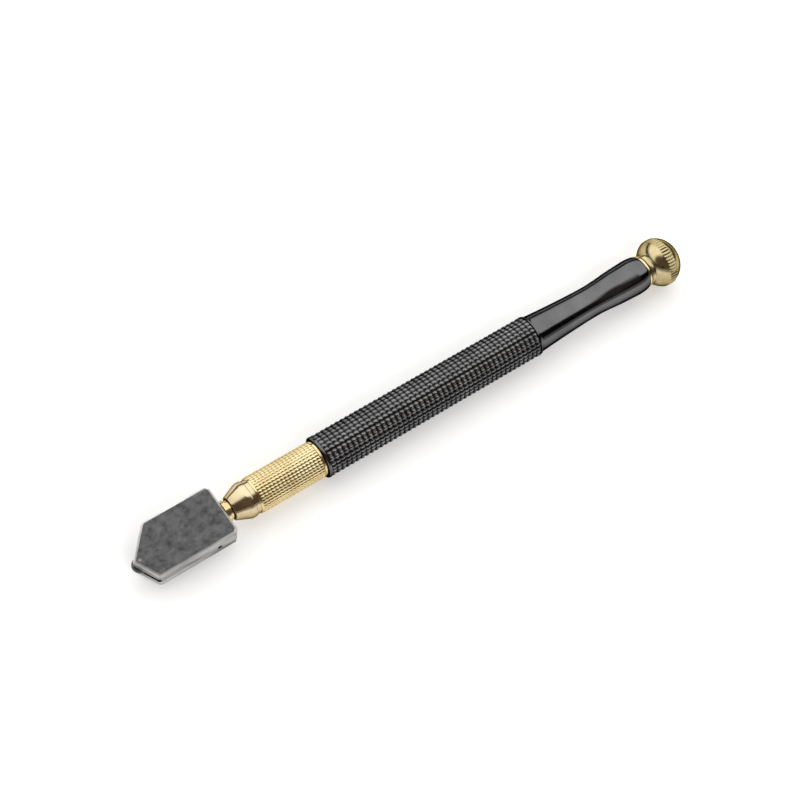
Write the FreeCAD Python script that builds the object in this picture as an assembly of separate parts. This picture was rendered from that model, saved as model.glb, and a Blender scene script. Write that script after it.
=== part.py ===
"""Oil-fed glass cutter: a swivelling wheel head on a knurled pencil handle that holds the oil.

The handle lies along X, with the cutting wheel at -X and the ball cap at +X. The head's broad
faces are level. The origin is under the middle of the tool, on the surface that it lies on.
Stations along the handle are measured from the barrel's front face, positive towards the cap.
All lengths are in millimetres.
"""
import FreeCAD, Part
import math
import os

V = FreeCAD.Vector
X_DIR = V(1, 0, 0)
Y_DIR = V(0, 1, 0)
Z_DIR = V(0, 0, 1)

# Fits
RUN_GAP = 0.05            # radial clearance of a shaft that turns or slides
FACE_GAP = 0.05           # axial clearance between faces that move on each other

# Head block: a five-sided plate, its pointed end forward
HEAD_LENGTH = 25.9
HEAD_WIDTH = 14.8
HEAD_THICK = 6.0
HEAD_REAR = -28.1         # station of its rear face
FAR_SHOULDER = 7.1        # how far the +Y shoulder lies behind the point
NEAR_SHOULDER = 3.45      # how far the -Y shoulder lies behind the point
POINT_OFFSET = 0.6        # how far the point lies from the swivel axis, towards -Y
TRAIL = 1.0               # how far the wheel trails the swivel axis, towards -Y
REAR_CHAMFER = 1.0
SHOULDER_CHAMFER = 0.5
RIM_CHAMFER = 0.6         # the bevel round both broad faces
SOCKET_DEPTH = 10.0
OIL_HOLE_R = 0.6

# Cutting wheel and its axle
WHEEL_R = 2.2
WHEEL_THICK = 1.0
WHEEL_BEVEL = 0.24        # radial height of each side of the cutting edge
AXLE_R = 0.4
AXLE_SET_BACK = 1.7       # axle behind the point of the head
WHEEL_GAP = 0.03
SLOT_WIDTH = 1.2
SLOT_DEPTH = 5.2
SLOT_SAW_R = 15.0

# Pin that keeps the head on its stem
PIN_R = 0.5
PIN_SET_IN = 5.6          # ahead of the head's rear face
PIN_RECESS = 0.6
PIN_END_GAP = 0.15        # between the pin's inner end and the bottom of its groove
PIN_GROOVE_R = 1.1
PIN_GROOVE_WIDTH = 1.1
PIN_GROOVE_HALF_ANGLE = 38.0

# Stem that the head swivels on
SPIGOT_R = 1.75
SPIGOT_FRONT = -37.85     # a little short of the bottom of the head's socket
STEM_R = 2.5
COLLAR_R = 2.9
COLLAR_END = -27.1        # leaves the nose nut clear when the stem is pushed in
STEM_FLANGE_R = 3.1
STEM_FLANGE_THICK = 1.0
STEM_TAIL_R = 1.5
STEM_TAIL_END = -17.0
STEM_BORE_R = 0.7
CROSS_HOLE_R = 0.5
CROSS_HOLE_STATION = -18.4
WICK_R = 0.62
WICK_FRONT = -37.7
WICK_REAR = -17.3
SEAL_GROOVE_R = 1.95
SEAL_GROOVE_START = -24.1
SEAL_GROOVE_WIDTH = 1.2
SEAL_WIRE_R = 0.28

# Nose nut: cone, short cylinder and neck
NOSE_FRONT = -26.2
NOSE_FRONT_R = 3.25
NOSE_CONE_END = -22.25
NOSE_R = 4.9
NOSE_NECK_START = -20.85
NOSE_NECK_R = 4.65
NOSE_NECK_CHAMFER = 0.15
NOSE_MOUTH_R = 2.95
NOSE_MOUTH_DEPTH = 0.6
NOSE_THREAD_R = 3.9
NOSE_TAIL_BORE_R = 3.2
NOSE_SHOULDER = -20.9     # inner shoulder that stops the stem's flange
NOSE_TAIL_END = -13.0

# Knurled ferrule
FERRULE_FRONT = -19.7
FERRULE_KNURL_START = -19.1
FERRULE_LIP = 0.8
FERRULE_R = 5.0
FERRULE_LAND_R = 4.9
FERRULE_BORE_R = 3.0
FERRULE_SPIGOT_R = 4.2
FERRULE_SPIGOT_END = 8.5
RING_GROOVE_R = 3.66
RING_GROOVE_START = 0.8
RING_GROOVE_WIDTH = 1.2
RING_WIRE_R = 0.26

# Oil valve in the ferrule
SEAT_FRONT = -12.8
SEAT_REAR = -10.3
SEAT_HOLE_R = 1.5
SEAT_CONE_DEPTH = 0.6
POPPET_PIN_R = 1.0
POPPET_HEAD_R = 2.3
POPPET_HEAD_REAR = -9.0
POPPET_BOSS_R = 1.2
POPPET_BOSS_LENGTH = 1.2
POPPET_GAP = 0.06
SPRING_R = 1.85
SPRING_WIRE_R = 0.28
SPRING_COILS = 6
PLUG_FRONT = -1.5
PLUG_LENGTH = 2.5
PLUG_HOLE_R = 1.0
FELT_LENGTH = 3.5
FELT_R = 2.95

# Barrel: knurled grip, then a waisted tail
BARREL_R = 5.75
BARREL_EDGE = 0.25
GRIP_LENGTH = 68.0
TAIL_STEP = 0.35
TAIL_START_R = 5.32
TAIL_START_SLOPE = -0.03
TAIL_MID = (77.8, 4.73)
TAIL_WAIST = (88.8, 4.37)
TAIL_FLARE = (96.8, 4.9)
TAIL_SHOULDER = (102.6, 5.17)
TAIL_ROUNDING_MID = (104.625, 5.01)
BARREL_END = 106.05
BARREL_END_R = 4.65
RESERVOIR_R = 4.2
RESERVOIR_END = 66.0
TAIL_BORE_R = 3.1
BORE_CONE_LENGTH = 1.5

# Threaded bush at the filler end
BUSH_R = 3.6
BUSH_DEPTH = 6.5
BUSH_FLANGE_R = 4.55
BUSH_FLANGE_THICK = 0.8
STUD_R = 3.0

# Washer and ball cap
WASHER_THICK = 0.3
WASHER_R = 4.1
WASHER_HOLE_R = 3.15
BALL_R = 6.85
BALL_EQUATOR = 112.6
BALL_FRONT = 108.6
BALL_BULGE = 0.25         # how far the front of the ball swells past a straight cone
BALL_BAND = 1.3           # half the width of the milled band at the equator
BALL_DOME_LENGTH = 5.4    # from the equator to the end of the dome
DOME_STEP = 0.1           # the dome starts this much inside the ball's surface
CROWN_R = 9.0
CROWN_EDGE_R = 3.6        # radius about the axis where the crown meets the rounded corner
CAP_NECK_R = 4.45
STUD_LENGTH = 5.25

# The whole tool
HEAD_POINT = HEAD_REAR - HEAD_LENGTH
AXLE_STATION = HEAD_POINT + AXLE_SET_BACK
TOOL_FRONT = AXLE_STATION - WHEEL_R
TOOL_END = BALL_EQUATOR + BALL_DOME_LENGTH
MIDDLE = (TOOL_FRONT + TOOL_END) / 2
AXIS_HEIGHT = BALL_R      # the ball is the thickest part, so the tool lies on it


def turned(points):
    """A solid of revolution about the handle's axis, from a closed outline of (station, radius)."""
    corners = [V(x, r, 0) for x, r in points]
    outline = Part.makePolygon(corners + corners[:1])
    return Part.Face(outline).revolve(V(0, 0, 0), X_DIR, 360)


def turned_edges(edges):
    """A solid of revolution about the handle's axis, from edges that close on each other."""
    return Part.Face(Part.Wire(Part.sortEdges(edges)[0])).revolve(V(0, 0, 0), X_DIR, 360)


def line(start, end):
    return Part.makeLine(V(*start, 0), V(*end, 0))


def lines(points):
    return [line(a, b) for a, b in zip(points, points[1:])]


def rod(start, end, radius):
    """A plain cylinder on the handle's axis."""
    return Part.makeCylinder(radius, end - start, V(start, 0, 0), X_DIR)


def ring_seal(station, ring_r, wire_r):
    """A round sealing ring about the handle's axis."""
    return Part.makeTorus(ring_r, wire_r, V(station, 0, 0), X_DIR)


def head_outline():
    """The five corners of the head, each shoulder and rear corner cut off by a small chamfer."""
    half = HEAD_WIDTH / 2
    corners = [
        (HEAD_POINT, -POINT_OFFSET, 0),
        (HEAD_POINT + NEAR_SHOULDER, -half, SHOULDER_CHAMFER),
        (HEAD_REAR, -half, REAR_CHAMFER),
        (HEAD_REAR, half, REAR_CHAMFER),
        (HEAD_POINT + FAR_SHOULDER, half, SHOULDER_CHAMFER),
    ]
    points = []
    for i, (x, y, cut) in enumerate(corners):
        corner = V(x, y, 0)
        if not cut:
            points.append(corner)
            continue
        before = V(*corners[i - 1][:2], 0) - corner
        after = V(*corners[(i + 1) % len(corners)][:2], 0) - corner
        points.append(corner + before.normalize() * cut)
        points.append(corner + after.normalize() * cut)
    return points


def head_block():
    points = head_outline()
    plate = Part.Face(Part.makePolygon(points + points[:1])).extrude(V(0, 0, HEAD_THICK))
    plate.translate(V(0, 0, -HEAD_THICK / 2))
    rims = [e for e in plate.Edges if abs(abs(e.CenterOfMass.z) - HEAD_THICK / 2) < 1e-6]
    plate = plate.makeChamfer(RIM_CHAMFER, rims)

    saw_centre = HEAD_POINT + SLOT_DEPTH - SLOT_SAW_R
    slot = Part.makeCylinder(SLOT_SAW_R, SLOT_WIDTH, V(saw_centre, -TRAIL, -SLOT_WIDTH / 2), Z_DIR)
    axle_hole = Part.makeCylinder(AXLE_R, HEAD_THICK, V(AXLE_STATION, -TRAIL, -HEAD_THICK / 2), Z_DIR)
    socket = rod(HEAD_REAR - SOCKET_DEPTH, HEAD_REAR, SPIGOT_R + RUN_GAP)
    oil_hole = rod(HEAD_POINT + SLOT_DEPTH / 2, HEAD_REAR - SOCKET_DEPTH, OIL_HOLE_R)
    pin_hole = Part.makeCylinder(PIN_R, HEAD_WIDTH / 2, V(HEAD_REAR - PIN_SET_IN, 0, 0), -Y_DIR)
    return plate.cut([slot, axle_hole, socket, oil_hole, pin_hole])


def wheel_axle():
    return Part.makeCylinder(AXLE_R, HEAD_THICK, V(AXLE_STATION, -TRAIL, -HEAD_THICK / 2), Z_DIR)


def cutting_wheel():
    half = WHEEL_THICK / 2
    bore = AXLE_R + WHEEL_GAP
    rim = WHEEL_R - WHEEL_BEVEL
    outline = [(bore, -half), (rim, -half), (WHEEL_R, 0), (rim, half), (bore, half)]
    corners = [V(r, 0, z) for r, z in outline]
    wheel = Part.Face(Part.makePolygon(corners + corners[:1])).revolve(V(0, 0, 0), Z_DIR, 360)
    wheel.translate(V(AXLE_STATION, -TRAIL, 0))
    return wheel


def head_pin():
    inner = PIN_GROOVE_R + PIN_END_GAP
    outer = HEAD_WIDTH / 2 - PIN_RECESS
    return Part.makeCylinder(PIN_R, outer - inner, V(HEAD_REAR - PIN_SET_IN, -inner, 0), -Y_DIR)


def swivel_stem():
    flange_front = NOSE_SHOULDER + FACE_GAP
    flange_rear = flange_front + STEM_FLANGE_THICK
    collar_front = HEAD_REAR + 2 * FACE_GAP
    groove_end = SEAL_GROOVE_START + SEAL_GROOVE_WIDTH
    stem = turned([
        (SPIGOT_FRONT, STEM_BORE_R), (SPIGOT_FRONT, SPIGOT_R),
        (collar_front, SPIGOT_R), (collar_front, COLLAR_R),
        (COLLAR_END, COLLAR_R), (COLLAR_END, STEM_R),
        (SEAL_GROOVE_START, STEM_R), (SEAL_GROOVE_START, SEAL_GROOVE_R),
        (groove_end, SEAL_GROOVE_R), (groove_end, STEM_R),
        (flange_front, STEM_R), (flange_front, STEM_FLANGE_R),
        (flange_rear, STEM_FLANGE_R), (flange_rear, STEM_TAIL_R),
        (STEM_TAIL_END, STEM_TAIL_R), (STEM_TAIL_END, STEM_BORE_R),
    ])
    # The groove for the pin reaches only part of the way round, so it limits the swivel
    groove_front = HEAD_REAR - PIN_SET_IN - PIN_GROOVE_WIDTH / 2
    angle = 2 * PIN_GROOVE_HALF_ANGLE
    groove = Part.makeCylinder(SPIGOT_R + 1, PIN_GROOVE_WIDTH, V(0, 0, 0), Z_DIR, angle)
    groove = groove.cut(Part.makeCylinder(PIN_GROOVE_R, PIN_GROOVE_WIDTH, V(0, 0, 0), Z_DIR))
    groove.rotate(V(0, 0, 0), Z_DIR, -PIN_GROOVE_HALF_ANGLE)
    # Z becomes the handle's axis, and the middle of the groove faces -Y
    groove.rotate(V(0, 0, 0), Y_DIR, 90)
    groove.rotate(V(0, 0, 0), X_DIR, -90)
    groove.translate(V(groove_front, 0, 0))
    cross_hole = Part.makeCylinder(CROSS_HOLE_R, 2 * STEM_R, V(CROSS_HOLE_STATION, -STEM_R, 0), Y_DIR)
    return stem.cut([groove, cross_hole])


def stem_seal():
    station = SEAL_GROOVE_START + SEAL_GROOVE_WIDTH / 2
    return ring_seal(station, SEAL_GROOVE_R + SEAL_WIRE_R, SEAL_WIRE_R)


def feed_wick():
    return rod(WICK_FRONT, WICK_REAR, WICK_R)


def nose_nut():
    bore = STEM_R + RUN_GAP
    mouth_end = NOSE_FRONT + NOSE_MOUTH_DEPTH
    return turned([
        (NOSE_FRONT, NOSE_MOUTH_R), (NOSE_FRONT, NOSE_FRONT_R),
        (NOSE_CONE_END, NOSE_R), (NOSE_NECK_START - NOSE_NECK_CHAMFER, NOSE_R),
        (NOSE_NECK_START, NOSE_NECK_R), (FERRULE_FRONT, NOSE_NECK_R),
        (FERRULE_FRONT, NOSE_THREAD_R), (NOSE_TAIL_END, NOSE_THREAD_R),
        (NOSE_TAIL_END, NOSE_TAIL_BORE_R), (NOSE_SHOULDER, NOSE_TAIL_BORE_R),
        (NOSE_SHOULDER, bore), (mouth_end, bore), (mouth_end, NOSE_MOUTH_R),
    ])


def knurled_ferrule():
    ring_end = RING_GROOVE_START + RING_GROOVE_WIDTH
    return turned([
        (FERRULE_FRONT, NOSE_THREAD_R), (FERRULE_FRONT, FERRULE_LAND_R),
        (FERRULE_KNURL_START, FERRULE_LAND_R), (FERRULE_KNURL_START, FERRULE_R),
        (-FERRULE_LIP, FERRULE_R), (-FERRULE_LIP, FERRULE_LAND_R),
        (0, FERRULE_LAND_R), (0, FERRULE_SPIGOT_R),
        (RING_GROOVE_START, FERRULE_SPIGOT_R), (RING_GROOVE_START, RING_GROOVE_R),
        (ring_end, RING_GROOVE_R), (ring_end, FERRULE_SPIGOT_R),
        (FERRULE_SPIGOT_END, FERRULE_SPIGOT_R), (FERRULE_SPIGOT_END, FERRULE_BORE_R),
        (NOSE_TAIL_END, FERRULE_BORE_R), (NOSE_TAIL_END, NOSE_THREAD_R),
    ])


def ferrule_ring():
    station = RING_GROOVE_START + RING_GROOVE_WIDTH / 2
    return ring_seal(station, RING_GROOVE_R + RING_WIRE_R, RING_WIRE_R)


def valve_seat():
    cone_front = SEAT_REAR - SEAT_CONE_DEPTH
    return turned([
        (SEAT_FRONT, SEAT_HOLE_R), (SEAT_FRONT, FERRULE_BORE_R),
        (SEAT_REAR, FERRULE_BORE_R), (SEAT_REAR, SEAT_HOLE_R + SEAT_CONE_DEPTH),
        (cone_front, SEAT_HOLE_R),
    ])


def valve_poppet():
    """A pin that the stem pushes, and a 45 degree cone that closes the seat."""
    cone_origin = SEAT_REAR - SEAT_CONE_DEPTH - SEAT_HOLE_R + POPPET_GAP
    boss_rear = POPPET_HEAD_REAR + POPPET_BOSS_LENGTH
    pin_front = STEM_TAIL_END + FACE_GAP
    return turned([
        (pin_front, 0), (pin_front, POPPET_PIN_R),
        (cone_origin + POPPET_PIN_R, POPPET_PIN_R), (cone_origin + POPPET_HEAD_R, POPPET_HEAD_R),
        (POPPET_HEAD_REAR, POPPET_HEAD_R), (POPPET_HEAD_REAR, POPPET_BOSS_R),
        (boss_rear, POPPET_BOSS_R), (boss_rear, 0),
    ])


def valve_spring():
    free_length = PLUG_FRONT - POPPET_HEAD_REAR - 2 * SPRING_WIRE_R
    helix = Part.makeHelix(free_length / SPRING_COILS, free_length, SPRING_R)
    section = Part.Wire(Part.makeCircle(SPRING_WIRE_R, V(SPRING_R, 0, 0), Y_DIR))
    spring = Part.Wire(helix).makePipeShell([section], True, True)
    spring.rotate(V(0, 0, 0), Y_DIR, 90)
    spring.translate(V(POPPET_HEAD_REAR + SPRING_WIRE_R, 0, 0))
    return spring


def spring_plug():
    rear = PLUG_FRONT + PLUG_LENGTH
    return rod(PLUG_FRONT, rear, FERRULE_BORE_R).cut(rod(PLUG_FRONT, rear, PLUG_HOLE_R))


def filter_felt():
    front = PLUG_FRONT + PLUG_LENGTH
    return rod(front, front + FELT_LENGTH, FELT_R)


def barrel():
    """The knurled grip is plain here, at the radius of the knurl's crests."""
    tail_front = (GRIP_LENGTH + TAIL_STEP, TAIL_START_R)
    tail = Part.BSplineCurve()
    knots = (tail_front, TAIL_MID, TAIL_WAIST, TAIL_FLARE, TAIL_SHOULDER)
    tail.interpolate([V(*p, 0) for p in knots],
                     InitialTangent=V(1, TAIL_START_SLOPE, 0), FinalTangent=V(1, 0, 0))
    rounding = Part.Arc(V(*TAIL_SHOULDER, 0), V(*TAIL_ROUNDING_MID, 0), V(BARREL_END, BARREL_END_R, 0))
    front = lines([
        (0, RESERVOIR_R), (0, BARREL_R - BARREL_EDGE), (BARREL_EDGE, BARREL_R),
        (GRIP_LENGTH, BARREL_R), tail_front,
    ])
    inside = lines([
        (BARREL_END, BARREL_END_R), (BARREL_END, BUSH_R), (BARREL_END - BUSH_DEPTH, BUSH_R),
        (BARREL_END - BUSH_DEPTH, TAIL_BORE_R), (RESERVOIR_END + BORE_CONE_LENGTH, TAIL_BORE_R),
        (RESERVOIR_END, RESERVOIR_R), (0, RESERVOIR_R),
    ])
    return turned_edges(front + [tail.toShape(), rounding.toShape()] + inside)


def filler_bush():
    flange_rear = BARREL_END + BUSH_FLANGE_THICK
    bore = STUD_R + RUN_GAP
    return turned([
        (BARREL_END - BUSH_DEPTH, bore), (BARREL_END - BUSH_DEPTH, BUSH_R),
        (BARREL_END, BUSH_R), (BARREL_END, BUSH_FLANGE_R),
        (flange_rear, BUSH_FLANGE_R), (flange_rear, bore),
    ])


def cap_washer():
    front = BARREL_END + BUSH_FLANGE_THICK
    rear = front + WASHER_THICK
    return rod(front, rear, WASHER_R).cut(rod(front, rear, WASHER_HOLE_R))


def ball_cap():
    """Threaded stud, neck, and a ball with a flat milled band and a shallow dome at the end."""
    neck_front = BARREL_END + BUSH_FLANGE_THICK + WASHER_THICK
    stud_front = neck_front - STUD_LENGTH

    root_r = math.sqrt(BALL_R ** 2 - BALL_BAND ** 2)
    neck_end = V(BALL_FRONT, CAP_NECK_R, 0)
    band_front = V(BALL_EQUATOR - BALL_BAND, root_r, 0)
    cone = band_front - neck_end
    outward = V(-cone.y, cone.x, 0).normalize()
    ball_mid = (neck_end + band_front) * 0.5 + outward * BALL_BULGE
    ball_arc = Part.Arc(neck_end, ball_mid, band_front).toShape()

    # The dome is a crown centred on the axis, with a rounded corner that meets it smoothly
    band_rear = V(BALL_EQUATOR + BALL_BAND, root_r - DOME_STEP, 0)
    crown_centre = V(TOOL_END - CROWN_R, 0, 0)
    crown_angle = math.asin(CROWN_EDGE_R / CROWN_R)
    crown_edge = crown_centre + V(math.cos(crown_angle), math.sin(crown_angle), 0) * CROWN_R
    crown_mid = crown_centre + V(math.cos(crown_angle / 2), math.sin(crown_angle / 2), 0) * CROWN_R
    crown_end = V(TOOL_END, 0, 0)
    inward = (crown_centre - crown_edge) * (1 / CROWN_R)
    chord = band_rear - crown_edge
    corner_r = chord.dot(chord) / (2 * chord.dot(inward))
    corner_centre = crown_edge + inward * corner_r
    corner_way = (band_rear + crown_edge) * 0.5 - corner_centre
    corner_mid = corner_centre + corner_way.normalize() * corner_r

    edges = lines([
        (TOOL_END, 0), (stud_front, 0), (stud_front, STUD_R), (neck_front, STUD_R),
        (neck_front, CAP_NECK_R), (BALL_FRONT, CAP_NECK_R),
    ])
    edges += lines([
        (band_front.x, band_front.y), (BALL_EQUATOR - BALL_BAND, BALL_R),
        (BALL_EQUATOR + BALL_BAND, BALL_R), (band_rear.x, band_rear.y),
    ])
    edges.append(ball_arc)
    edges.append(Part.Arc(band_rear, corner_mid, crown_edge).toShape())
    edges.append(Part.Arc(crown_edge, crown_mid, crown_end).toShape())
    return turned_edges(edges)


PIECES = {
    "head_block": head_block,
    "head_pin": head_pin,
    "wheel_axle": wheel_axle,
    "cutting_wheel": cutting_wheel,
    "swivel_stem": swivel_stem,
    "stem_seal": stem_seal,
    "feed_wick": feed_wick,
    "nose_nut": nose_nut,
    "knurled_ferrule": knurled_ferrule,
    "ferrule_ring": ferrule_ring,
    "valve_seat": valve_seat,
    "valve_poppet": valve_poppet,
    "valve_spring": valve_spring,
    "spring_plug": spring_plug,
    "filter_felt": filter_felt,
    "barrel": barrel,
    "filler_bush": filler_bush,
    "cap_washer": cap_washer,
    "ball_cap": ball_cap,
}


os.makedirs("parts", exist_ok=True)
for name, make in PIECES.items():
    piece = make()
    piece.translate(V(-MIDDLE, 0, AXIS_HEIGHT))
    if len(piece.Solids) != 1 or not piece.isValid():
        raise ValueError(f"{name} is not one valid solid")
    piece.exportStep(f"parts/{name}.step")
    box = piece.BoundBox
    print(f"{name:16s} volume {piece.Volume:9.2f}  x {box.XMin:8.2f} to {box.XMax:8.2f}")
print("middle station", MIDDLE, "length", TOOL_END - TOOL_FRONT)
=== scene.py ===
"""The looks of the oil-fed glass cutter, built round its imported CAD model.

The handle lies along X with the cutting wheel at -X. Lengths are in metres.
"""

import math

import bpy
import numpy as np
from mathutils import Matrix, Vector


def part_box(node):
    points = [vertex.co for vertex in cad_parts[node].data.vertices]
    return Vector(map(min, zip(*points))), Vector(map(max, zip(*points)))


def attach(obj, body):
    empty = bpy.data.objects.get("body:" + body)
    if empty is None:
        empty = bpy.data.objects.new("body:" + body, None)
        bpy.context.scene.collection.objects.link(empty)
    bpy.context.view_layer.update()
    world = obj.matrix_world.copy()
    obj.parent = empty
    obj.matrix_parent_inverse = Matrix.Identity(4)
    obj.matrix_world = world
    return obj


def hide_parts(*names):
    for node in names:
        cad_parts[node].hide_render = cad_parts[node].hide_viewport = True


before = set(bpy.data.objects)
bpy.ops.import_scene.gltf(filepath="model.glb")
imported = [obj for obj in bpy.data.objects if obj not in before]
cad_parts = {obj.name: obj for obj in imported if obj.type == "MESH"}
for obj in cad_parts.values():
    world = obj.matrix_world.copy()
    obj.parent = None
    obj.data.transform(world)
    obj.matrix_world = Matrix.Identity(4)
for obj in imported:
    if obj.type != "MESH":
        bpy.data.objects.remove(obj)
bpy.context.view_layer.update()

MM = 0.001
LOW, HIGH = 0, 1
SHARP_ANGLE = math.radians(35)


# ---------------------------------------------------------------- places from the frame

barrel_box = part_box("barrel")
ferrule_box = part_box("knurled_ferrule")
nose_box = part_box("nose_nut")
ball_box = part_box("ball_cap")
bush_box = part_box("filler_bush")
pin_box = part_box("head_pin")
head_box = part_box("head_block")

AXIS_HEIGHT = (barrel_box[LOW][2] + barrel_box[HIGH][2]) / 2
PIN_X = (pin_box[LOW][0] + pin_box[HIGH][0]) / 2
PIN_Z = (pin_box[LOW][2] + pin_box[HIGH][2]) / 2
BARREL_FRONT = barrel_box[LOW][0]
BARREL_END = barrel_box[HIGH][0]
BARREL_R = (barrel_box[HIGH][1] - barrel_box[LOW][1]) / 2
FERRULE_R = (ferrule_box[HIGH][1] - ferrule_box[LOW][1]) / 2
NOSE_R = (nose_box[HIGH][1] - nose_box[LOW][1]) / 2
BALL_R = (ball_box[HIGH][1] - ball_box[LOW][1]) / 2


# ---------------------------------------------------------------- mesh helpers

def straight(start, end, steps):
    """Points of an outline from start to end, without its last point."""
    (x0, r0), (x1, r1) = start, end
    return [(x0 + (x1 - x0) * i / steps, r0 + (r1 - r0) * i / steps) for i in range(steps)]


def rounded(centre, radius, start_deg, end_deg, steps):
    """Points of an outline on an arc, both ends included."""
    angles = [math.radians(start_deg + (end_deg - start_deg) * i / steps) for i in range(steps + 1)]
    return [(centre[0] + radius * math.cos(a), centre[1] + radius * math.sin(a)) for a in angles]


def smooth_through(stations, steps):
    """A Catmull-Rom curve through the stations, with its last point left out."""
    knots = [stations[0]] + list(stations) + [stations[-1]]
    curve = []
    for before, a, b, after in zip(knots, knots[1:], knots[2:], knots[3:]):
        for i in range(steps):
            t = i / steps
            weights = (
                (-t + 2 * t ** 2 - t ** 3) / 2,
                (2 - 5 * t ** 2 + 3 * t ** 3) / 2,
                (t + 4 * t ** 2 - 3 * t ** 3) / 2,
                (t ** 3 - t ** 2) / 2,
            )
            points = (before, a, b, after)
            curve.append(tuple(sum(w * p[k] for w, p in zip(weights, points)) for k in (0, 1)))
    return curve


def swelling(start, end, bulge, steps):
    """A line from start to end that swells outwards by bulge in the middle, both ends included."""
    along = Vector(end) - Vector(start)
    outward = Vector((-along.y, along.x)).normalized()
    points = [Vector(start) + along * (i / steps) + outward * bulge * (1 - (2 * i / steps - 1) ** 2)
              for i in range(steps + 1)]
    return [tuple(p) for p in points]


def triangle_wave(phase):
    """0 at whole numbers, 1 half way between them."""
    return 1 - np.abs(2 * (phase - np.floor(phase)) - 1)


def turned(name, outline, columns, relief=None, loop=True):
    """A surface of revolution about the handle's axis, from points of (x, radius).

    relief(x, radius, angle) gives how far each point is sunk. A loop outline closes on itself,
    any other outline starts and ends on the axis.
    """
    x = np.array([p[0] for p in outline])[:, None]
    r = np.array([p[1] for p in outline])[:, None]
    angle = (np.arange(columns) * 2 * math.pi / columns)[None, :]
    sunk = relief(x, r, angle) if relief else 0
    radius = np.broadcast_to(r - sunk, (len(outline), columns))
    grid = np.stack([
        np.broadcast_to(x, radius.shape),
        radius * np.cos(angle),
        AXIS_HEIGHT + radius * np.sin(angle),
    ], axis=-1)
    rows = len(outline)
    inner_rows = range(rows) if loop else range(1, rows - 1)
    verts = grid[list(inner_rows)].reshape(-1, 3)
    count = len(inner_rows)
    faces = []
    for i in range(count if loop else count - 1):
        a, b = i * columns, ((i + 1) % count) * columns
        faces += [(a + j, b + j, b + (j + 1) % columns, a + (j + 1) % columns) for j in range(columns)]
    if not loop:
        ends = [(outline[0][0], 0, AXIS_HEIGHT), (outline[-1][0], 0, AXIS_HEIGHT)]
        first, last = len(verts), len(verts) + 1
        verts = np.vstack([verts, ends])
        tail = (count - 1) * columns
        faces += [(first, j, (j + 1) % columns) for j in range(columns)]
        faces += [(last, tail + (j + 1) % columns, tail + j) for j in range(columns)]
    return mesh_piece(name, verts, faces)


def mesh_piece(name, verts, faces):
    mesh = bpy.data.meshes.new(name)
    mesh.from_pydata([tuple(v) for v in verts], [], faces)
    mesh.validate()
    mesh.polygons.foreach_set("use_smooth", [True] * len(mesh.polygons))
    mesh.set_sharp_from_angle(angle=SHARP_ANGLE)
    mesh.update()
    piece = bpy.data.objects.new(name, mesh)
    bpy.context.scene.collection.objects.link(piece)
    return piece


def square_knurl(start, end, rings, columns, depth, crest_r, blunt):
    """Relief of a straight-crossed knurl: rings and lengthwise grooves that leave blunt pyramids.

    A larger blunt gives narrower grooves and broader crests.
    """

    def relief(x, radius, angle):
        along = triangle_wave((x - start) / (end - start) * rings)
        around = triangle_wave(angle / (2 * math.pi) * columns)
        ring = 1 - np.minimum(1, blunt * along)
        groove = 1 - np.minimum(1, blunt * around)
        sunk = 0.7 * np.maximum(ring, groove) + 0.3 * np.minimum(ring, groove)
        inside = (x > start - 1e-7) & (x < end + 1e-7) & (radius > crest_r - 1e-6)
        return np.where(inside, depth * sunk, 0)

    return relief


# ---------------------------------------------------------------- materials

def new_material(name):
    material = bpy.data.materials.new(name)
    material.use_nodes = True
    nodes = material.node_tree.nodes
    nodes.clear()
    output = nodes.new("ShaderNodeOutputMaterial")
    shader = nodes.new("ShaderNodeBsdfPrincipled")
    material.node_tree.links.new(shader.outputs[0], output.inputs[0])
    return material, nodes, material.node_tree.links, shader


def object_space(nodes, links, scale, turn=0):
    coords = nodes.new("ShaderNodeTexCoord")
    mapping = nodes.new("ShaderNodeMapping")
    mapping.inputs["Scale"].default_value = scale
    mapping.inputs["Rotation"].default_value = (0, 0, turn)
    links.new(coords.outputs["Object"], mapping.inputs["Vector"])
    return mapping.outputs["Vector"]


def noise(nodes, links, vector, scale, detail=4.0, roughness=0.55):
    node = nodes.new("ShaderNodeTexNoise")
    node.inputs["Scale"].default_value = scale
    node.inputs["Detail"].default_value = detail
    node.inputs["Roughness"].default_value = roughness
    links.new(vector, node.inputs["Vector"])
    return node.outputs["Fac"]


def spread(nodes, links, value, low_in, high_in, low_out, high_out):
    node = nodes.new("ShaderNodeMapRange")
    node.inputs["From Min"].default_value = low_in
    node.inputs["From Max"].default_value = high_in
    node.inputs["To Min"].default_value = low_out
    node.inputs["To Max"].default_value = high_out
    links.new(value, node.inputs["Value"])
    return node.outputs["Result"]


def blend_colours(nodes, links, factor, low, high):
    node = nodes.new("ShaderNodeMix")
    node.data_type = "RGBA"
    links.new(factor, node.inputs["Factor"])
    for socket, colour in ((node.inputs["A"], low), (node.inputs["B"], high)):
        if isinstance(colour, tuple):
            socket.default_value = (*colour, 1)
        else:
            links.new(colour, socket)
    return node.outputs["Result"]


def bump(nodes, links, shader, height, strength, distance):
    node = nodes.new("ShaderNodeBump")
    node.inputs["Strength"].default_value = strength
    node.inputs["Distance"].default_value = distance
    links.new(height, node.inputs["Height"])
    links.new(node.outputs["Normal"], shader.inputs["Normal"])


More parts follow.
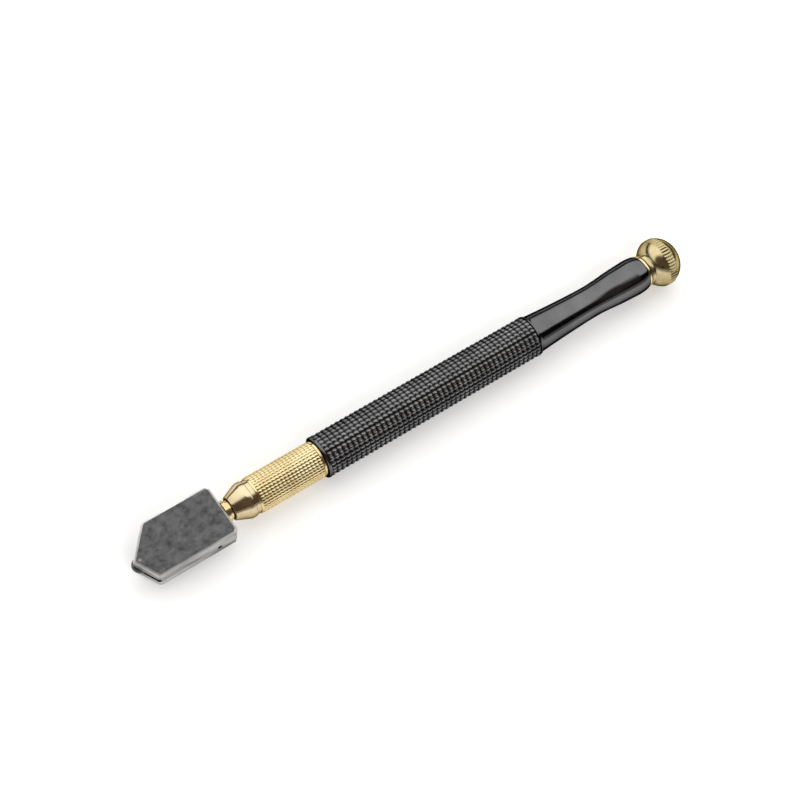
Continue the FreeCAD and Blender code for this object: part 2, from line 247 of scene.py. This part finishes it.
def distance_from_axis(nodes, links):
    """How far a point is from the handle's axis."""
    coords = nodes.new("ShaderNodeTexCoord")
    split = nodes.new("ShaderNodeSeparateXYZ")
    links.new(coords.outputs["Object"], split.inputs[0])
    lowered = nodes.new("ShaderNodeMath")
    lowered.operation = "SUBTRACT"
    lowered.inputs[1].default_value = AXIS_HEIGHT
    links.new(split.outputs["Z"], lowered.inputs[0])
    flat = nodes.new("ShaderNodeCombineXYZ")
    links.new(split.outputs["Y"], flat.inputs["X"])
    links.new(lowered.outputs[0], flat.inputs["Y"])
    length = nodes.new("ShaderNodeVectorMath")
    length.operation = "LENGTH"
    links.new(flat.outputs[0], length.inputs[0])
    return length.outputs["Value"]


# Noise scales, in features per metre, and the heights of bumps.
POLISH_CLOUD, POLISH_FINE, LATHE_RINGS, KNURL_GRIT = 160, 1400, 9000, 2000
STEEL_CLOUD, STEEL_SPECK, STEEL_SCRATCH, STEEL_STREAK = 420, 2600, 3000, 1700
PAPER_GRAIN = 90
RING_HEIGHT, STREAK_HEIGHT, FIBRE_HEIGHT, GRIT_HEIGHT = 0.00002, 0.00003, 0.00005, 0.00012
EVEN = (1, 1, 1)


def turned_metal(name, dark, light, roughness, edge, groove=None, grit=0.0):
    """Turned and polished metal: a cloudy polish and faint lathe rings.

    A groove is the radius of a knurl's bottom, the radius where its crests reach their full colour, and
    the colour of the painted shade between. Grit takes the place of the rings, uneven as a rolled knurl
    is.
    """
    material, nodes, links, shader = new_material(name)
    shader.inputs["Metallic"].default_value = 1
    # Painted shade: a dark edge tint darkens the reflections at grazing angles.
    shader.inputs["Specular Tint"].default_value = (*edge, 1)
    cloud = noise(nodes, links, object_space(nodes, links, EVEN), POLISH_CLOUD)
    fine = noise(nodes, links, object_space(nodes, links, EVEN), POLISH_FINE, detail=2)
    colour = blend_colours(nodes, links, spread(nodes, links, cloud, 0.35, 0.65, 0, 1), dark, light)
    polish = spread(nodes, links, fine, 0.3, 0.7, roughness[0], roughness[1])
    if groove:
        bottom, crest, groove_shade_colour = groove
        # Painted shade: the colour darkens towards the bottom of the knurl's grooves.
        height = spread(nodes, links, distance_from_axis(nodes, links), bottom, crest, 0, 1)
        colour = blend_colours(nodes, links, height, groove_shade_colour, colour)
    links.new(colour, shader.inputs["Base Color"])
    links.new(polish, shader.inputs["Roughness"])
    if grit:
        lumps = noise(nodes, links, object_space(nodes, links, EVEN), KNURL_GRIT, detail=3)
        bump(nodes, links, shader, lumps, grit, GRIT_HEIGHT)
    else:
        rings = noise(nodes, links, object_space(nodes, links, (1, 0.02, 0.02)), LATHE_RINGS, detail=2)
        bump(nodes, links, shader, rings, 0.06, RING_HEIGHT)
    return material


def ground_steel(name, face, bevel, side, roughness, hole=None):
    """Ground steel, coloured by which way a facet faces: dark broad faces with scratches and specks,
    bevels with a painted highlight, and sides with streaks that are partly grinding marks and partly
    painted highlight lines.

    A hole is the centre of a pin hole's mouth and the radius of the dark ring in and round it.
    """
    material, nodes, links, shader = new_material(name)
    shader.inputs["Metallic"].default_value = 1
    coords = nodes.new("ShaderNodeTexCoord")
    split = nodes.new("ShaderNodeSeparateXYZ")
    links.new(coords.outputs["Normal"], split.inputs[0])
    upright = nodes.new("ShaderNodeMath")
    upright.operation = "ABSOLUTE"
    links.new(split.outputs["Z"], upright.inputs[0])
    on_bevel = spread(nodes, links, upright.outputs[0], 0.3, 0.5, 0, 1)
    on_face = spread(nodes, links, upright.outputs[0], 0.85, 0.95, 0, 1)
    plain = object_space(nodes, links, EVEN)
    cloud = noise(nodes, links, plain, STEEL_CLOUD, detail=8, roughness=0.7)
    speck = noise(nodes, links, plain, STEEL_SPECK, detail=2)
    slanted = object_space(nodes, links, (0.12, 1, 1), 0.5)
    scratch = noise(nodes, links, slanted, STEEL_SCRATCH, detail=3)
    layers = object_space(nodes, links, (0.03, 0.03, 1))
    streak = noise(nodes, links, layers, STEEL_STREAK, detail=4, roughness=0.6)
    face_colour = blend_colours(nodes, links, spread(nodes, links, cloud, 0.35, 0.65, 0, 1), *face)
    scratched = spread(nodes, links, scratch, 0.6, 0.75, 0, 0.13)
    face_colour = blend_colours(nodes, links, scratched, face_colour, bevel[0])
    specked = spread(nodes, links, speck, 0.62, 0.74, 0, 0.35)
    face_colour = blend_colours(nodes, links, specked, face_colour, side[0])
    bevel_lit_colour = blend_colours(nodes, links, spread(nodes, links, streak, 0.35, 0.55, 0, 1), *bevel)
    side_lit_colour = blend_colours(nodes, links, spread(nodes, links, streak, 0.38, 0.62, 0, 1), *side)
    # Painted light: bevels and sides take lighter colours than the broad faces because of which way they
    # face.
    colour = blend_colours(nodes, links, on_bevel, side_lit_colour, bevel_lit_colour)
    colour = blend_colours(nodes, links, on_face, colour, face_colour)
    if hole:
        mouth, dark_r = hole
        # Darkens a ring in and round the pin hole's mouth, nearly to black.
        away = nodes.new("ShaderNodeVectorMath")
        away.operation = "DISTANCE"
        away.inputs[1].default_value = mouth
        links.new(coords.outputs["Object"], away.inputs[0])
        beyond_dark = spread(nodes, links, away.outputs["Value"], 0.85 * dark_r, dark_r, 0, 1)
        colour = blend_colours(nodes, links, beyond_dark, HOLE_MOUTH_DARK, colour)
    links.new(colour, shader.inputs["Base Color"])
    rubbed = nodes.new("ShaderNodeMath")
    rubbed.operation = "ADD"
    links.new(spread(nodes, links, cloud, 0.3, 0.7, *roughness), rubbed.inputs[0])
    links.new(spread(nodes, links, on_face, 0, 1, 0.2, 0), rubbed.inputs[1])
    links.new(rubbed.outputs[0], shader.inputs["Roughness"])
    bump(nodes, links, shader, streak, 0.2, STREAK_HEIGHT)
    return material


def soft_stuff(name, dark, light, roughness, scale):
    """Rubber, felt and cotton: a rough surface with a fibrous or granular mottle."""
    material, nodes, links, shader = new_material(name)
    grain = noise(nodes, links, object_space(nodes, links, EVEN), scale, detail=6)
    links.new(blend_colours(nodes, links, spread(nodes, links, grain, 0.3, 0.7, 0, 1), dark, light),
              shader.inputs["Base Color"])
    links.new(spread(nodes, links, grain, 0.3, 0.7, *roughness), shader.inputs["Roughness"])
    bump(nodes, links, shader, grain, 0.4, FIBRE_HEIGHT)
    return material


def grey(level):
    return (level, level, level)


BRASS_DARK = (0.68, 0.54, 0.28)
BRASS_LIGHT = (0.84, 0.72, 0.43)
# Edge tint that darkens grazing reflections: painted shade at the edges.
BRASS_SHADED_EDGE = (0.55, 0.40, 0.18)
# The ball's brass is a darker, shaded copy of the brass: painted shade.
BALL_SHADED_BRASS_DARK = (0.37, 0.29, 0.135)
BALL_SHADED_BRASS_LIGHT = (0.62, 0.525, 0.305)
# Near-black edge tint: painted dark reflections at the ball's edges.
BALL_SHADED_EDGE = (0.04, 0.028, 0.012)
NOSE_BRASS_DARK = (0.5, 0.39, 0.225)
NOSE_BRASS_LIGHT = (0.72, 0.615, 0.40)
# Dark edge tint: painted shade at the nose's edges.
NOSE_SHADED_EDGE = (0.2, 0.13, 0.06)
# Painted shade at the bottom of the ferrule's knurl.
FERRULE_GROOVE_SHADE = (0.5, 0.36, 0.16)
BLACK_DARK = (0.115, 0.115, 0.12)
BLACK_LIGHT = (0.15, 0.15, 0.155)
# Dark edge tint: painted shade at the black plate's edges.
BLACK_SHADED_EDGE = grey(0.05)
# The knurl's crests are a lighter copy of the black plate: painted light.
CREST_LIT_DARK = (0.16, 0.16, 0.165)
CREST_LIT_LIGHT = (0.25, 0.25, 0.255)
# Painted shade at the bottom of the barrel's knurl.
BARREL_GROOVE_SHADE = grey(0.015)
# A near-black ring in and round the pin hole's mouth.
HOLE_MOUTH_DARK = grey(0.004)
HOLE_MOUTH_DARK_R = 0.7 * MM
KNURL_DEPTH = 0.36 * MM
FINE_KNURL_DEPTH = 0.21 * MM

brass = turned_metal("brass_polished", BRASS_DARK, BRASS_LIGHT, (0.1, 0.2), BRASS_SHADED_EDGE)
# Darker copy of the brass for the ball cap: painted shade.
ball_shaded_brass = turned_metal("brass_ball_shaded", BALL_SHADED_BRASS_DARK, BALL_SHADED_BRASS_LIGHT, (0.12, 0.22), BALL_SHADED_EDGE)
nose_brass = turned_metal("brass_nose", NOSE_BRASS_DARK, NOSE_BRASS_LIGHT, (0.1, 0.2), NOSE_SHADED_EDGE)
brass_knurled = turned_metal(
    "brass_knurled", BRASS_DARK, BRASS_LIGHT, (0.14, 0.26), BRASS_SHADED_EDGE,
    groove=(FERRULE_R - FINE_KNURL_DEPTH, FERRULE_R - 0.5 * FINE_KNURL_DEPTH, FERRULE_GROOVE_SHADE))
black_plate = turned_metal("black_plate", BLACK_DARK, BLACK_LIGHT, (0.06, 0.15), BLACK_SHADED_EDGE)
black_knurled = turned_metal(
    "black_plate_knurled", CREST_LIT_DARK, CREST_LIT_LIGHT, (0.03, 0.12), BLACK_SHADED_EDGE,
    groove=(BARREL_R - 0.8 * KNURL_DEPTH, BARREL_R - 0.25 * KNURL_DEPTH, BARREL_GROOVE_SHADE), grit=0.6)
# Painted highlights: the near-white bevel and the light streaks on the head's sides.
head_steel = ground_steel(
    "head_steel",
    face=((0.045, 0.045, 0.047), (0.135, 0.135, 0.138)),
    bevel=(grey(0.4), grey(0.95)),
    side=((0.05, 0.05, 0.052), grey(0.6)),
    roughness=(0.28, 0.48),
    hole=((PIN_X, head_box[LOW][1], PIN_Z), HOLE_MOUTH_DARK_R))
carbide = ground_steel(
    "carbide",
    face=(grey(0.08), grey(0.12)),
    bevel=(grey(0.1), grey(0.16)),
    side=(grey(0.08), grey(0.14)),
    roughness=(0.25, 0.4))
pin_steel = turned_metal("pin_steel", grey(0.4), grey(0.6), (0.2, 0.35), grey(0.5))
axle_steel = turned_metal("axle_steel", grey(0.14), grey(0.32), (0.3, 0.5), grey(0.3))
black_pin = turned_metal("black_pin", grey(0.003), grey(0.01), (0.5, 0.7), grey(0.01))
rubber = soft_stuff("seal_rubber", grey(0.012), grey(0.03), (0.5, 0.75), 900)
felt = soft_stuff("filter_felt", (0.6, 0.57, 0.5), (0.8, 0.77, 0.7), (0.85, 1.0), 1500)
cotton = soft_stuff("wick_cotton", (0.75, 0.72, 0.64), (0.9, 0.88, 0.82), (0.85, 1.0), 2500)


# ---------------------------------------------------------------- pieces

def barrel_piece():
    """Grip with a plain band at each end of the knurl, then the waisted tail, and the tank inside."""
    grip = 68.0 * MM
    band = 0.8 * MM
    rim = 0.5 * MM
    rings, columns, samples = 45, 26, 8
    knurl_start = BARREL_FRONT + band
    knurl_end = BARREL_FRONT + grip - rim
    edge = 0.38 * MM
    tank_r = 4.2 * MM
    bush_r = 3.6 * MM
    neck_r = 3.1 * MM
    bush_end = BARREL_END - 6.5 * MM
    tank_end = BARREL_FRONT + 66 * MM
    neck_start = BARREL_FRONT + 67.5 * MM
    end_r = 4.65 * MM
    # Distances from the barrel's front and radii, in millimetres.
    tail = [(68.35, 5.32), (77.8, 4.73), (88.8, 4.37), (96.8, 4.9), (102.6, 5.17)]
    tail = [(BARREL_FRONT + x * MM, r * MM) for x, r in tail]
    outline = straight((BARREL_FRONT, tank_r), (BARREL_FRONT, BARREL_R - edge), 4)
    outline += rounded((BARREL_FRONT + edge, BARREL_R - edge), edge, 180, 90, 4)
    outline += straight((BARREL_FRONT + edge + 0.1 * MM, BARREL_R), (knurl_start - 0.01 * MM, BARREL_R), 3)
    outline += straight((knurl_start, BARREL_R), (knurl_end, BARREL_R), rings * samples)
    outline += [(knurl_end, BARREL_R), (knurl_end + 0.02 * MM, BARREL_R)]
    rim_end = (knurl_end + rim - 0.1 * MM, BARREL_R - 0.02 * MM)
    outline += straight((knurl_end + 0.03 * MM, BARREL_R), rim_end, 2)
    grip_end = BARREL_FRONT + grip
    outline += [(grip_end, BARREL_R - 0.1 * MM), (grip_end + 0.02 * MM, tail[0][1] + 0.15 * MM)]
    outline += smooth_through(tail, 14)
    shoulder = tail[-1]
    reach = BARREL_END - shoulder[0]
    drop = shoulder[1] - end_r
    outline += [(shoulder[0] + reach * math.sin(a), shoulder[1] - drop * (1 - math.cos(a)))
                for a in (math.pi / 2 * i / 10 for i in range(11))]
    outline += straight((BARREL_END, 4.5 * MM), (BARREL_END, bush_r), 3)
    outline += [(BARREL_END, bush_r), (bush_end, bush_r), (bush_end, neck_r)]
    outline += [(neck_start, neck_r), (tank_end, tank_r)]
    relief = square_knurl(knurl_start, knurl_end, rings, columns, KNURL_DEPTH, BARREL_R, blunt=1.15)
    piece = turned("knurled_barrel", outline, columns * samples, relief)
    piece.data.materials.append(black_plate)
    piece.data.materials.append(black_knurled)
    for polygon in piece.data.polygons:
        if knurl_start < polygon.center.x < knurl_end:
            polygon.material_index = 1
    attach(piece, "handle")
    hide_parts("barrel")


def ferrule_piece():
    """Finely knurled sleeve with a plain land at each end, and the spigot that enters the barrel."""
    front = ferrule_box[LOW][0]
    end = ferrule_box[HIGH][0]
    face = BARREL_FRONT
    land_r = FERRULE_R - 0.1 * MM
    thread_r = 3.9 * MM
    bore_r = 3.0 * MM
    spigot_r = 4.2 * MM
    land = 0.6 * MM
    lip = 0.8 * MM
    bore_front = face - 13.0 * MM
    rings, columns, samples = 17, 34, 8
    knurl_start = front + land
    knurl_end = face - lip
    round_r = 0.12 * MM
    outline = straight((front, thread_r), (front, land_r - round_r), 3)
    outline += rounded((front + round_r, land_r - round_r), round_r, 180, 90, 4)
    outline += [(knurl_start - 0.04 * MM, land_r), (knurl_start - 0.01 * MM, FERRULE_R - 0.05 * MM)]
    outline += straight((knurl_start, FERRULE_R), (knurl_end, FERRULE_R), rings * samples)
    outline += [(knurl_end, FERRULE_R), (knurl_end + 0.02 * MM, FERRULE_R - 0.03 * MM)]
    outline += straight((knurl_end + 0.05 * MM, land_r), (face - round_r, land_r), 3)
    outline += rounded((face - round_r, land_r - round_r), round_r, 90, 0, 4)
    outline += [(face, spigot_r), (end, spigot_r), (end, bore_r)]
    outline += [(bore_front, bore_r), (bore_front, thread_r)]
    relief = square_knurl(knurl_start, knurl_end, rings, columns, FINE_KNURL_DEPTH, FERRULE_R, blunt=1.6)
    piece = turned("knurled_ferrule_brass", outline, columns * samples, relief)
    piece.data.materials.append(brass)
    piece.data.materials.append(brass_knurled)
    for polygon in piece.data.polygons:
        if knurl_start < polygon.center.x < knurl_end:
            polygon.material_index = 1
    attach(piece, "handle")
    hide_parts("knurled_ferrule")


def nose_piece():
    """Cone, short cylinder and neck, bored for the stem."""
    front = nose_box[LOW][0]
    end = nose_box[HIGH][0]
    ferrule_front = ferrule_box[LOW][0]
    mouth_r = 2.95 * MM
    mouth_depth = 0.6 * MM
    front_r = 3.25 * MM
    lip = 0.06 * MM
    cone_end = front + 3.95 * MM
    neck_front = front + 5.35 * MM
    neck_r = 4.65 * MM
    bore_r = 2.55 * MM
    tail_bore_r = 3.2 * MM
    thread_r = 3.9 * MM
    shoulder = front + 5.3 * MM
    outline = [(front + mouth_depth, bore_r), (front + mouth_depth, mouth_r), (front + lip, mouth_r)]
    outline += [(front, mouth_r + lip), (front, front_r - 0.1 * MM)]
    outline += [(front + 0.05 * MM, front_r - 0.02 * MM)]
    cone = [(front + 0.12 * MM, front_r + 0.04 * MM), (cone_end - 0.35 * MM, NOSE_R - 0.16 * MM)]
    outline += straight(*cone, 12)
    outline += smooth_through([cone[1], (cone_end, NOSE_R - 0.03 * MM), (cone_end + 0.4 * MM, NOSE_R)], 5)
    outline += straight((cone_end + 0.4 * MM, NOSE_R), (neck_front - 0.25 * MM, NOSE_R), 4)
    outline += [(neck_front - 0.12 * MM, NOSE_R - 0.04 * MM), (neck_front, NOSE_R - 0.16 * MM)]
    outline += [(neck_front + 0.05 * MM, neck_r), (ferrule_front, neck_r), (ferrule_front, thread_r)]
    outline += [(end, thread_r), (end, tail_bore_r), (shoulder, tail_bore_r), (shoulder, bore_r)]
    piece = turned("nose_nut_brass", outline, 160)
    piece.data.materials.append(nose_brass)
    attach(piece, "handle")
    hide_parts("nose_nut")


def thread_relief(start, end, pitch, depth, crest_r):
    """Relief of a screw thread. It is left-handed about +X: its crest falls back as the angle grows."""

    def relief(x, radius, angle):
        ridge = triangle_wave((x - start) / pitch + angle / (2 * math.pi))
        on_crest = (radius > crest_r - 1e-6) & (radius < crest_r + 1e-6)
        inside = (x > start) & (x < end) & on_crest
        return np.where(inside, depth * np.clip(1 - 1.3 * ridge, 0, 1), 0)

    return relief


def ball_piece():
    """Stud with its thread, neck, ball with a milled band at the equator, and a shallow dome."""
    stud_front = ball_box[LOW][0]
    end = ball_box[HIGH][0]
    dome_height = 5.4 * MM
    front_height = 4.0 * MM
    stud_length = 5.25 * MM
    equator = end - dome_height
    ball_front = equator - front_height
    neck_front = stud_front + stud_length
    neck_r = 4.45 * MM
    stud_r = 3.0 * MM
    chamfer = 0.5 * MM
    undercut = 0.3 * MM
    pitch, thread_depth = 1.0 * MM, 0.45 * MM
    band = 1.3 * MM
    ridges, samples = 44, 8
    ridge_depth = 0.22 * MM
    round_r = 0.15 * MM
    root_r = math.sqrt(BALL_R ** 2 - band ** 2)
    bulge = 0.25 * MM
    outline = [(stud_front, 0), (stud_front, stud_r - chamfer), (stud_front + chamfer, stud_r)]
    outline += straight((stud_front + 0.52 * MM, stud_r), (neck_front - undercut, stud_r), 60)
    outline += [(neck_front - 0.25 * MM, stud_r - undercut), (neck_front, stud_r - undercut)]
    outline += straight((neck_front, stud_r), (neck_front, neck_r - round_r), 3)
    outline += rounded((neck_front + round_r, neck_r - round_r), round_r, 180, 90, 4)
    outline += [(ball_front - 0.35 * MM, neck_r), (ball_front - 0.15 * MM, neck_r - 0.15 * MM)]
    outline += swelling((ball_front, neck_r), (equator - band, root_r), bulge, 24)
    outline += straight((equator - band, BALL_R), (equator + band, BALL_R), 16)
    outline += [(equator + band, BALL_R)]
    dome_front = (equator + band, root_r - 0.1 * MM)
    crown_r = 9.0 * MM
    crown_edge_r = 3.6 * MM
    crown_centre = Vector((end - crown_r, 0))
    crown_angle = math.asin(crown_edge_r / crown_r)
    crown_edge = crown_centre + Vector((math.cos(crown_angle), math.sin(crown_angle))) * crown_r
    inward = (crown_centre - crown_edge) / crown_r
    chord = Vector(dome_front) - crown_edge
    corner_r = chord.length_squared / (2 * chord.dot(inward))
    corner = crown_edge + inward * corner_r
    start_deg = math.degrees(math.atan2(dome_front[1] - corner.y, dome_front[0] - corner.x))
    outline += rounded(tuple(corner), corner_r, start_deg, math.degrees(crown_angle), 16)
    outline += rounded(tuple(crown_centre), crown_r, math.degrees(crown_angle), 0, 12)[1:]

    thread = thread_relief(stud_front + chamfer, neck_front - undercut, pitch, thread_depth, stud_r)

    def relief(x, radius, angle):
        ridge = triangle_wave(angle / (2 * math.pi) * ridges)
        away = np.abs(x - equator) / band
        swell = np.clip(1 - away ** 4, 0, 1) ** 0.5
        milled = ridge_depth * (1 - np.minimum(1, 1.6 * ridge) * swell)
        on_band = (away <= 1.0001) & (radius > BALL_R - 1e-6)
        return np.where(on_band, milled, 0) + thread(x, radius, angle)

    piece = turned("ball_cap_brass", outline, ridges * samples, relief, loop=False)
    piece.data.materials.append(ball_shaded_brass)
    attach(piece, "cap")
    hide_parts("ball_cap")


def bush_piece():
    """Bush in the barrel's end, with a rounded flange behind it."""
    front, end = bush_box[LOW][0], bush_box[HIGH][0]
    flange_r = 4.55 * MM
    bush_r = 3.6 * MM
    bore_r = 3.05 * MM
    round_r = 0.2 * MM
    outline = [(front, bore_r), (front, bush_r), (BARREL_END, bush_r)]
    seat = BARREL_END + 0.01 * MM
    outline += straight((seat, bush_r + 0.05 * MM), (seat, flange_r - round_r), 2)
    outline += rounded((BARREL_END + round_r, flange_r - round_r), round_r, 180, 90, 5)
    outline += rounded((end - round_r, flange_r - round_r), round_r, 90, 0, 5)
    outline += straight((end, flange_r - 0.3 * MM), (end, bore_r), 3)
    piece = turned("filler_bush_brass", outline, 144)
    piece.data.materials.append(brass)
    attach(piece, "handle")
    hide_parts("filler_bush")


barrel_piece()
ferrule_piece()
nose_piece()
ball_piece()
bush_piece()


# ---------------------------------------------------------------- materials of the CAD nodes

NODE_MATERIALS = {
    "head_block": head_steel,
    "cutting_wheel": carbide,
    "wheel_axle": axle_steel,
    "head_pin": black_pin,
    "swivel_stem": brass,
    "stem_seal": rubber,
    "feed_wick": cotton,
    "ferrule_ring": rubber,
    "valve_seat": brass,
    "valve_poppet": brass,
    "valve_spring": pin_steel,
    "spring_plug": brass,
    "filter_felt": felt,
    "cap_washer": rubber,
}
for node, material in NODE_MATERIALS.items():
    for material_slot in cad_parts[node].material_slots:
        material_slot.material = material


# ---------------------------------------------------------------- stage, light and camera

AZIMUTH, ELEVATION = math.radians(-45.16), math.radians(60.4)
CAMERA_BACK = Vector((
    math.sin(AZIMUTH) * math.cos(ELEVATION),
    -math.cos(AZIMUTH) * math.cos(ELEVATION),
    math.sin(ELEVATION),
))
CAMERA_DISTANCE = 448.4 * MM
CAMERA_ROLL = math.radians(11.33)
CAMERA_AIM = Vector((BARREL_FRONT + 27.32 * MM, 2.61 * MM, AXIS_HEIGHT))
LENS, SENSOR = 78.26, 36

SOFT_BOX = (1.45, 1.45, 1.42)
DARK_ROOM = (0.06, 0.055, 0.05)
BLACK_WALL = (0.012, 0.01, 0.008)
NEAR_TABLE = grey(0.42)
PHOTOGRAPHER = (0.12, 0.09, 0.072)
PAPER_DARK = grey(0.8)
PAPER_LIGHT = grey(0.85)
PAPER_GLOW = 0.25
FLOOR_HALF = 12.0
FILL_PLACE = (-0.1, -0.9, 0.8)
FILL_SIZE, FILL_WATTS = 0.8, 7


def floor():
    half = FLOOR_HALF
    verts = [(-half, -half, 0), (half, -half, 0), (half, half, 0), (-half, half, 0)]
    mesh = bpy.data.meshes.new("floor")
    mesh.from_pydata(verts, [], [(0, 1, 2, 3)])
    piece = bpy.data.objects.new("floor", mesh)
    bpy.context.scene.collection.objects.link(piece)
    material, nodes, links, shader = new_material("pale_paper")
    grain = noise(nodes, links, object_space(nodes, links, EVEN), PAPER_GRAIN, detail=3)
    paper = blend_colours(nodes, links, grain, PAPER_DARK, PAPER_LIGHT)
    links.new(paper, shader.inputs["Base Color"])
    shader.inputs["Roughness"].default_value = 0.9
    shader.inputs["Specular IOR Level"].default_value = 0.1
    shader.inputs["Emission Color"].default_value = (1, 1, 1, 1)
    shader.inputs["Emission Strength"].default_value = PAPER_GLOW
    mesh.materials.append(material)


def studio_world():
    """A broad soft box overhead, a dark room round it, and the photographer in front of it.

    On the near side come a black wall and, below it, the grey of a table.
    """
    world = bpy.data.worlds.new("studio")
    bpy.context.scene.world = world
    world.use_nodes = True
    nodes, links = world.node_tree.nodes, world.node_tree.links
    nodes.clear()
    output = nodes.new("ShaderNodeOutputWorld")
    background = nodes.new("ShaderNodeBackground")
    links.new(background.outputs[0], output.inputs[0])
    coords = nodes.new("ShaderNodeTexCoord")

    def within(direction, full_deg, none_deg):
        """1 inside a cone about the direction, falling to 0 at the wider angle."""
        cone = nodes.new("ShaderNodeVectorMath")
        cone.operation = "DOT_PRODUCT"
        cone.inputs[1].default_value = Vector(direction).normalized()
        links.new(coords.outputs["Generated"], cone.inputs[0])
        edges = math.cos(math.radians(none_deg)), math.cos(math.radians(full_deg))
        return spread(nodes, links, cone.outputs["Value"], *edges, 0, 1)

    def past(lean_deg, soft):
        """1 on the lower near side of a plane through X that leans so far from the vertical."""
        lean = math.radians(lean_deg)
        plane = nodes.new("ShaderNodeVectorMath")
        plane.operation = "DOT_PRODUCT"
        plane.inputs[1].default_value = (0, -math.cos(lean), -math.sin(lean))
        links.new(coords.outputs["Generated"], plane.inputs[0])
        return spread(nodes, links, plane.outputs["Value"], -soft, soft, 0, 1)

    soft_box = within((0, 0.1, 1), 66, 74)
    sky = blend_colours(nodes, links, soft_box, DARK_ROOM, SOFT_BOX)
    sky = blend_colours(nodes, links, past(38, 0.05), sky, BLACK_WALL)
    sky = blend_colours(nodes, links, past(74, 0.06), sky, NEAR_TABLE)
    # The brass reflects these three dark patches where the photo has dark reflections.
    operator = within((-0.1, -0.68, 0.72), 29, 40)
    lens = within(CAMERA_BACK, 12, 20)
    shoulder = within((-0.74, -0.25, 0.63), 18, 30)
    sky = blend_colours(nodes, links, operator, sky, PHOTOGRAPHER)
    sky = blend_colours(nodes, links, lens, sky, PHOTOGRAPHER)
    sky = blend_colours(nodes, links, shoulder, sky, PHOTOGRAPHER)
    links.new(sky, background.inputs["Color"])


def near_fill():
    """A broad dim lamp on the near side, which nothing reflects."""
    data = bpy.data.lights.new("near_fill", "AREA")
    data.energy = FILL_WATTS
    data.shape = "DISK"
    data.size = FILL_SIZE
    light = bpy.data.objects.new("near_fill", data)
    light.location = FILL_PLACE
    towards = Vector((0, 0, AXIS_HEIGHT)) - Vector(FILL_PLACE)
    light.rotation_euler = towards.to_track_quat("-Z", "Y").to_euler()
    light.visible_glossy = False
    bpy.context.scene.collection.objects.link(light)


def camera():
    """Above the head's end on the near side, rolled a little, so the tool rises to the right."""
    right = Vector((0, 0, 1)).cross(CAMERA_BACK).normalized()
    up = CAMERA_BACK.cross(right)
    rolled_right = right * math.cos(CAMERA_ROLL) + up * math.sin(CAMERA_ROLL)
    rolled_up = CAMERA_BACK.cross(rolled_right)
    data = bpy.data.cameras.new("camera")
    data.sensor_width = SENSOR
    data.lens = LENS
    data.clip_start = 0.01
    data.clip_end = 100
    eye = bpy.data.objects.new("camera", data)
    axes = Matrix((rolled_right, rolled_up, CAMERA_BACK)).transposed().to_4x4()
    eye.matrix_world = Matrix.Translation(CAMERA_AIM + CAMERA_BACK * CAMERA_DISTANCE) @ axes
    bpy.context.scene.collection.objects.link(eye)
    bpy.context.scene.camera = eye


floor()
studio_world()
near_fill()
camera()
bpy.context.scene.view_settings.view_transform = "Standard"
